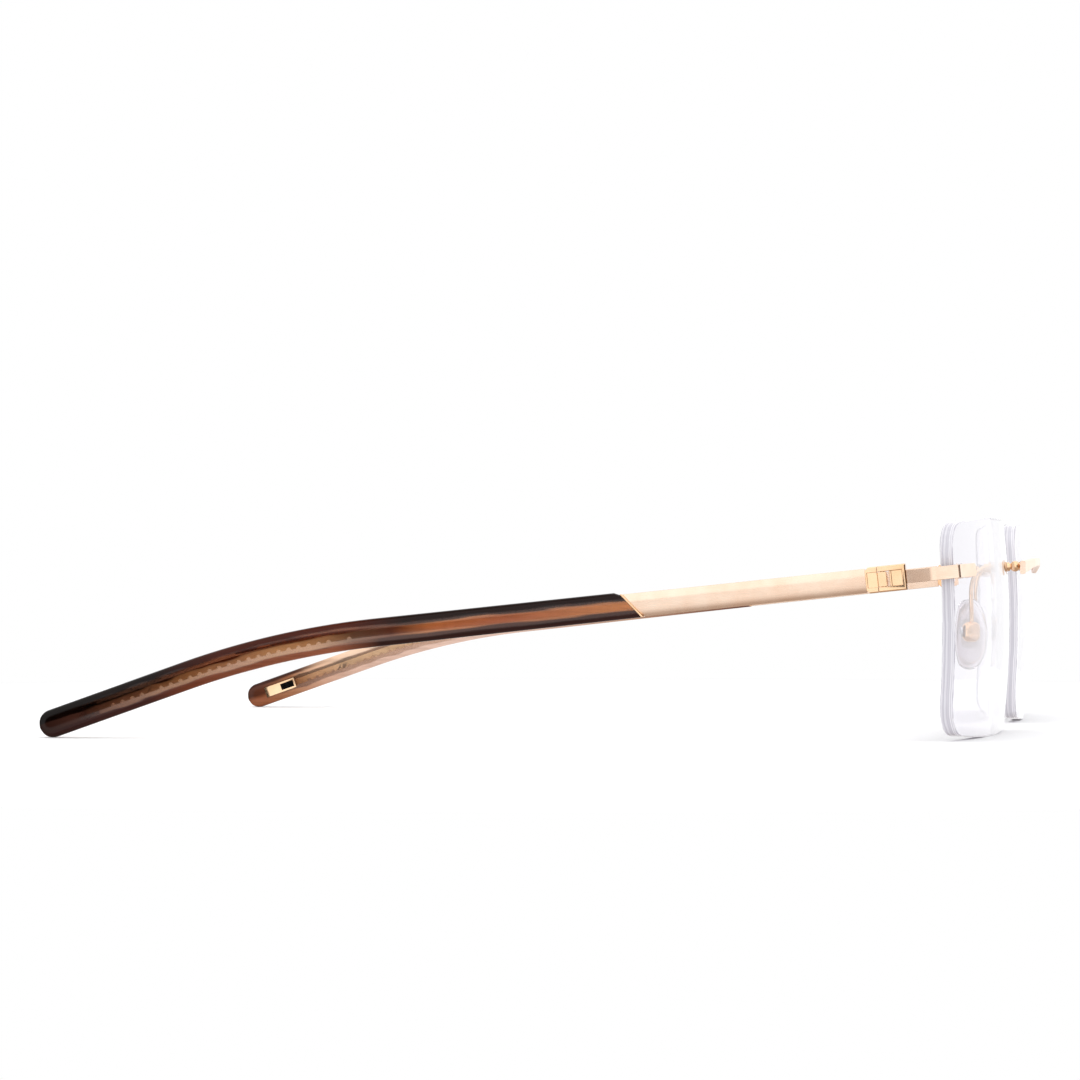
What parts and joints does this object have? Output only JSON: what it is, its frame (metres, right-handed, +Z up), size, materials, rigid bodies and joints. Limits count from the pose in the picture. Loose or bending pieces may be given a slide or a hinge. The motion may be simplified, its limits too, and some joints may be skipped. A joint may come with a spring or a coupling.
{
  "type": "rimless eyeglasses",
  "caption": "Rimless eyeglasses with clear rectangular lenses, pale gold bridge and hinged temples ending in bent dark horn-coloured tips.",
  "frame": {"origin": "middle of the open spectacles footprint, on the table they stand on", "axes": "+Z up, the lenses face -Y and the temples run towards +Y, +X towards the wearer's left"},
  "size_m": [0.145, 0.155, 0.0352],
  "materials": {
    "clear_lens": "polished",
    "polished_gold": "polished pale gold plating",
    "brushed_gold": "brushed pale gold plating",
    "core_metal": "satin",
    "bright_steel": "polished",
    "horn_acetate": "polished, streaked dark brown",
    "clear_silicone": "soft gloss",
    "clear_nylon": "gloss",
    "black_enamel": "gloss"
  },
  "bodies": {
    "front": {"bridge": "brushed_gold", "lens_left": "clear_lens", "lens_right": "clear_lens", "bridge_stud_left": "polished_gold", "bridge_stud_right": "polished_gold", "bridge_bushing_left": "clear_nylon", "bridge_bushing_right": "clear_nylon", "bridge_seat_left": "clear_nylon", "bridge_seat_right": "clear_nylon", "bridge_nut_left": "polished_gold", "bridge_nut_right": "polished_gold", "pad_arm_left": "polished_gold", "pad_arm_right": "polished_gold", "pad_box_left": "polished_gold", "pad_box_right": "polished_gold", "pad_screw_left": "bright_steel", "pad_screw_right": "bright_steel", "end_piece_left": "brushed_gold", "end_piece_right": "brushed_gold", "end_screw_left": "polished_gold", "end_screw_right": "polished_gold", "end_bushing_left": "clear_nylon", "end_bushing_right": "clear_nylon", "end_front_seat_left": "clear_nylon", "end_front_seat_right": "clear_nylon", "end_rear_seat_left": "clear_nylon", "end_rear_seat_right": "clear_nylon", "end_nut_left": "polished_gold", "end_nut_right": "polished_gold", "hinge_block_left": "polished_gold", "hinge_block_right": "polished_gold", "hinge_screw_left": "polished_gold", "hinge_screw_right": "polished_gold"},
    "temple_left": {"hinge_tongue_left": "polished_gold", "temple_bar_left": "brushed_gold", "ferrule_left": "polished_gold", "core_wire_left": "core_metal", "temple_tip_left": "horn_acetate", "plaque_left": "polished_gold", "enamel_left": "black_enamel"},
    "temple_right": {"hinge_tongue_right": "polished_gold", "temple_bar_right": "brushed_gold", "ferrule_right": "polished_gold", "core_wire_right": "core_metal", "temple_tip_right": "horn_acetate", "plaque_right": "polished_gold", "enamel_right": "black_enamel"},
    "pad_left": {"nose_pad_left": "clear_silicone", "pad_insert_left": "clear_nylon"},
    "pad_right": {"nose_pad_right": "clear_silicone", "pad_insert_right": "clear_nylon"}
  },
  "joints": [
    {"name": "left_temple_fold", "type": "hinge", "parent": "front", "child": "temple_left", "pos_m": [0.0685, -0.05737, 0.02544], "axis": [0, 0.1057, 0.9944], "range_deg": [0, 93]},
    {"name": "right_temple_fold", "type": "hinge", "parent": "front", "child": "temple_right", "pos_m": [-0.0685, -0.05737, 0.02544], "axis": [0, -0.1057, -0.9944], "range_deg": [0, 88]},
    {"name": "left_pad_rock", "type": "hinge", "parent": "front", "child": "pad_left", "pos_m": [0.0133, -0.06717, 0.0163], "axis": [0.2079, 0.9781, 0], "range_deg": [-10, 10]},
    {"name": "right_pad_rock", "type": "hinge", "parent": "front", "child": "pad_right", "pos_m": [-0.0133, -0.06717, 0.0163], "axis": [-0.2079, 0.9781, 0], "range_deg": [-10, 10]}
  ]
}
